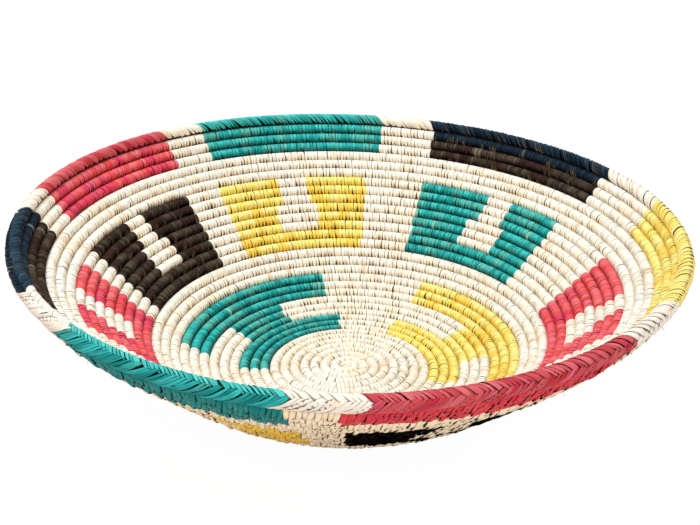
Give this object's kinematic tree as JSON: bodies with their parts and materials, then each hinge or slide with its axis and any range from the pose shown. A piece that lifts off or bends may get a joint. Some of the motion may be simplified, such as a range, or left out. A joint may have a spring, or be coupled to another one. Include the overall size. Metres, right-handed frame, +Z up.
{
  "type": "coiled basket bowl",
  "caption": "Wide coiled basket bowl with dyed block figures on its wall, a band of coloured blocks below the rim and a herringbone braided edge.",
  "frame": {"origin": "middle of the floor, on the flat underside of the start knot, in the plane that the bowl stands on", "axes": "+Z up along the bowl's axis, out of its mouth; +Y away from the side that the picture shows nearest, +X to its right"},
  "size_m": [0.3927, 0.4031, 0.1153],
  "materials": {
    "natural_strand": "undyed cream raffia strands with peach and straw streaks, satin",
    "grass_bundle": "dry straw-coloured grass stems, matt",
    "red_strand": "red dyed raffia strands with pinker and darker ones, satin",
    "teal_strand": "teal green dyed raffia strands with pale and dark ones, satin",
    "yellow_strand": "golden yellow dyed raffia strands with pale ones, satin",
    "black_strand": "brown-black dyed raffia strands, satin",
    "navy_strand": "navy blue dyed raffia strands with blacker ones, satin"
  },
  "bodies": {
    "root": {"start_knot": "natural_strand", "base_coil": "natural_strand", "lower_coil": "natural_strand", "upper_coil": "natural_strand", "rim_coil": "grass_bundle", "inner_figure_1_red": "red_strand", "inner_figure_2_teal": "teal_strand", "inner_figure_3_yellow": "yellow_strand", "inner_ground_1": "natural_strand", "inner_ground_2": "natural_strand", "inner_ground_3": "natural_strand", "figure_1_yellow": "yellow_strand", "figure_2_red": "red_strand", "figure_3_black": "black_strand", "figure_4_yellow": "yellow_strand", "figure_5_teal": "teal_strand", "figure_6_red": "red_strand", "figure_7_black": "black_strand", "figure_1_notch": "natural_strand", "figure_2_notch": "natural_strand", "figure_3_notch": "natural_strand", "figure_4_notch": "natural_strand", "figure_5_notch": "natural_strand", "figure_6_notch": "natural_strand", "figure_7_notch": "natural_strand", "ground_1": "natural_strand", "ground_2": "natural_strand", "ground_3": "natural_strand", "ground_4": "natural_strand", "ground_5": "natural_strand", "ground_6": "natural_strand", "ground_7": "natural_strand", "rim_block_1_teal": "teal_strand", "rim_block_2_navy": "navy_strand", "rim_block_3_red": "red_strand", "rim_block_4_teal": "teal_strand", "rim_block_5_navy": "navy_strand", "rim_block_6_yellow": "yellow_strand", "rim_block_7_red": "red_strand", "rim_ground_1": "natural_strand", "rim_ground_2": "natural_strand", "rim_ground_3": "natural_strand", "rim_ground_4": "natural_strand", "rim_ground_5": "natural_strand", "rim_ground_6": "natural_strand", "rim_ground_7": "natural_strand", "braid_1_teal": "teal_strand", "braid_2_navy": "navy_strand", "braid_3_red": "red_strand", "braid_4_teal": "teal_strand", "braid_5_navy": "navy_strand", "braid_6_yellow": "yellow_strand", "braid_7_red": "red_strand", "braid_1_natural": "natural_strand", "braid_2_natural": "natural_strand", "braid_3_natural": "natural_strand", "braid_4_natural": "natural_strand", "braid_5_natural": "natural_strand", "braid_6_natural": "natural_strand", "braid_7_natural": "natural_strand"}
  },
  "joints": []
}
